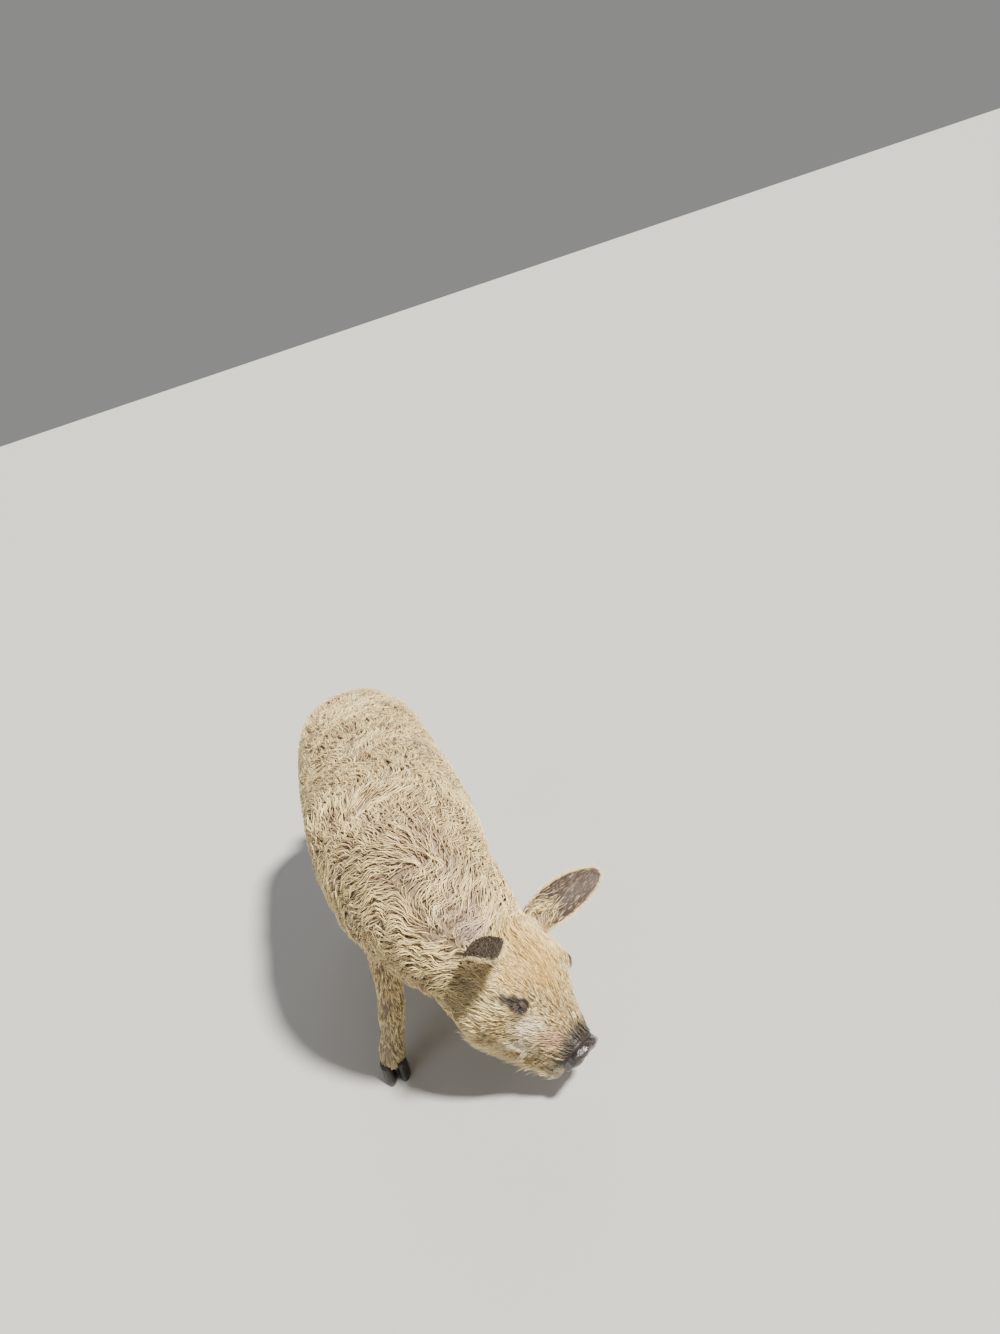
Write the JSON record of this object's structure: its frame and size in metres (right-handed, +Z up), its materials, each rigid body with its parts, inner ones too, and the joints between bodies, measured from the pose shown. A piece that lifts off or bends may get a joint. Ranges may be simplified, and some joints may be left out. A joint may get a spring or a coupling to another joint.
{
  "type": "mangalica pig",
  "caption": "Life-size still model of a young curly-coated pig standing with its neck lowered, head turned and nose close to the floor.",
  "frame": {"origin": "on the floor under the middle of the pig's outline", "axes": "-Y towards the head end, +X the pig's left, +Z up"},
  "size_m": [0.4184, 0.9553, 0.449],
  "materials": {
    "coat": "cream curly hair, matt",
    "skin": "pinkish grey skin, matt",
    "snout": "dark moist nose skin",
    "eye": "wet, almost black",
    "claw": "black horn"
  },
  "bodies": {
    "root": {"torso": "coat", "neck": "coat", "head": "coat", "tail": "coat", "foreleg_left": "coat", "foreleg_right": "coat", "hindleg_left": "coat", "hindleg_right": "coat", "snout": "snout", "ear_left": "skin", "ear_right": "skin", "eye_left": "eye", "eye_right": "eye", "claw_foreleg_left_a": "claw", "claw_foreleg_left_b": "claw", "claw_foreleg_right_a": "claw", "claw_foreleg_right_b": "claw", "claw_hindleg_left_a": "claw", "claw_hindleg_left_b": "claw", "claw_hindleg_right_a": "claw", "claw_hindleg_right_b": "claw", "dewclaw_foreleg_left_a": "claw", "dewclaw_foreleg_left_b": "claw", "dewclaw_foreleg_right_a": "claw", "dewclaw_foreleg_right_b": "claw", "dewclaw_hindleg_left_a": "claw", "dewclaw_hindleg_left_b": "claw", "dewclaw_hindleg_right_a": "claw", "dewclaw_hindleg_right_b": "claw"}
  },
  "joints": []
}
